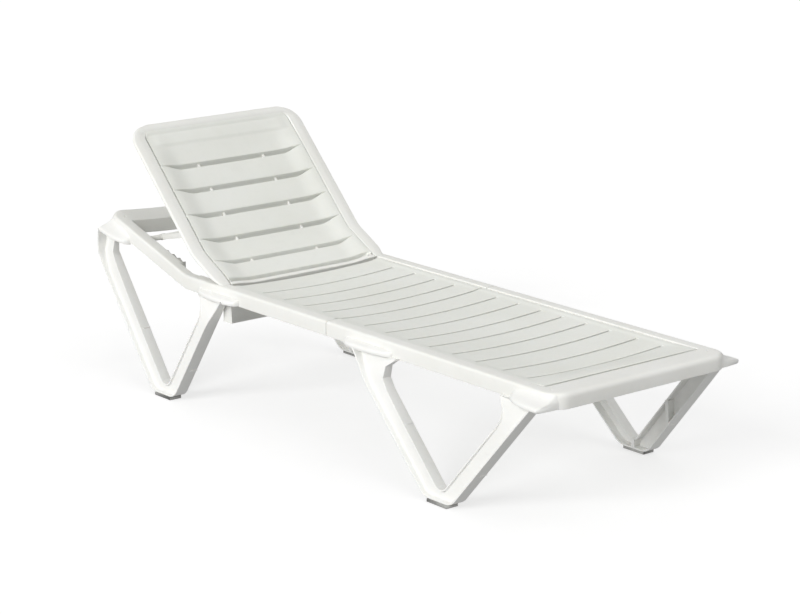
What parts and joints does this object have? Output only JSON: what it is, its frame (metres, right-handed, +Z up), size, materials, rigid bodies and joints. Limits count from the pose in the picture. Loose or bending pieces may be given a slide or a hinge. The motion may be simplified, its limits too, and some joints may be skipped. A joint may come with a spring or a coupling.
{
  "type": "reclining sun lounger",
  "caption": "Moulded sun lounger with inset slatted deck, V-shaped legs and a slatted backrest that reclines on a toothed rack.",
  "frame": {"origin": "centre of the bounding box's base, on the ground midway along the lounger", "axes": "+X across the width to the right seen from the foot end, +Y from the foot end to the head end, +Z up"},
  "size_m": [0.72, 1.93, 0.7368],
  "materials": {
    "frame_shell": "satin white moulded polypropylene",
    "leg_shell": "satin white moulded polypropylene",
    "slat_panel": "fine-textured white moulded polypropylene",
    "back_shell": "satin white moulded polypropylene",
    "prop_plastic": "satin white moulded polypropylene",
    "glide_pad": "dark grey moulded rubber",
    "screw_steel": "zinc-plated steel",
    "pin_steel": "stainless steel"
  },
  "bodies": {
    "frame": {"foot_frame": "frame_shell", "head_frame": "frame_shell", "foot_deck": "slat_panel", "head_deck": "slat_panel", "rear_cross_beam": "frame_shell", "leg_front_left": "leg_shell", "leg_front_right": "leg_shell", "leg_rear_left": "leg_shell", "leg_rear_right": "leg_shell", "pad_front_left": "glide_pad", "pad_front_right": "glide_pad", "pad_rear_left": "glide_pad", "pad_rear_right": "glide_pad", "rack_left": "prop_plastic", "rack_right": "prop_plastic", "spigot_left": "frame_shell", "spigot_right": "frame_shell", "joint_screws": "screw_steel", "leg_screws": "screw_steel", "deck_screws": "screw_steel", "rack_screws": "screw_steel", "hinge_pin_left": "pin_steel", "hinge_pin_right": "pin_steel"},
    "backrest": {"back_frame": "back_shell", "back_panel": "slat_panel", "back_screws": "screw_steel", "prop_pin_left": "pin_steel", "prop_pin_right": "pin_steel"},
    "prop": {"prop_bail": "prop_plastic", "prop_cap_left": "prop_plastic", "prop_cap_right": "prop_plastic"}
  },
  "joints": [
    {"name": "backrest_recline", "type": "hinge", "parent": "frame", "child": "backrest", "pos_m": [0, 0.426, 0.338], "axis": [1, 0, 0], "range_deg": [-27.5, 22]},
    {"name": "prop_swing", "type": "hinge", "parent": "backrest", "child": "prop", "pos_m": [0, 0.5968, 0.4567], "axis": [1, 0, 0], "range_deg": [-44, 55]}
  ],
  "couplings": [
    {"joint": "prop_swing", "follows": "backrest_recline", "ratio": -2}
  ]
}
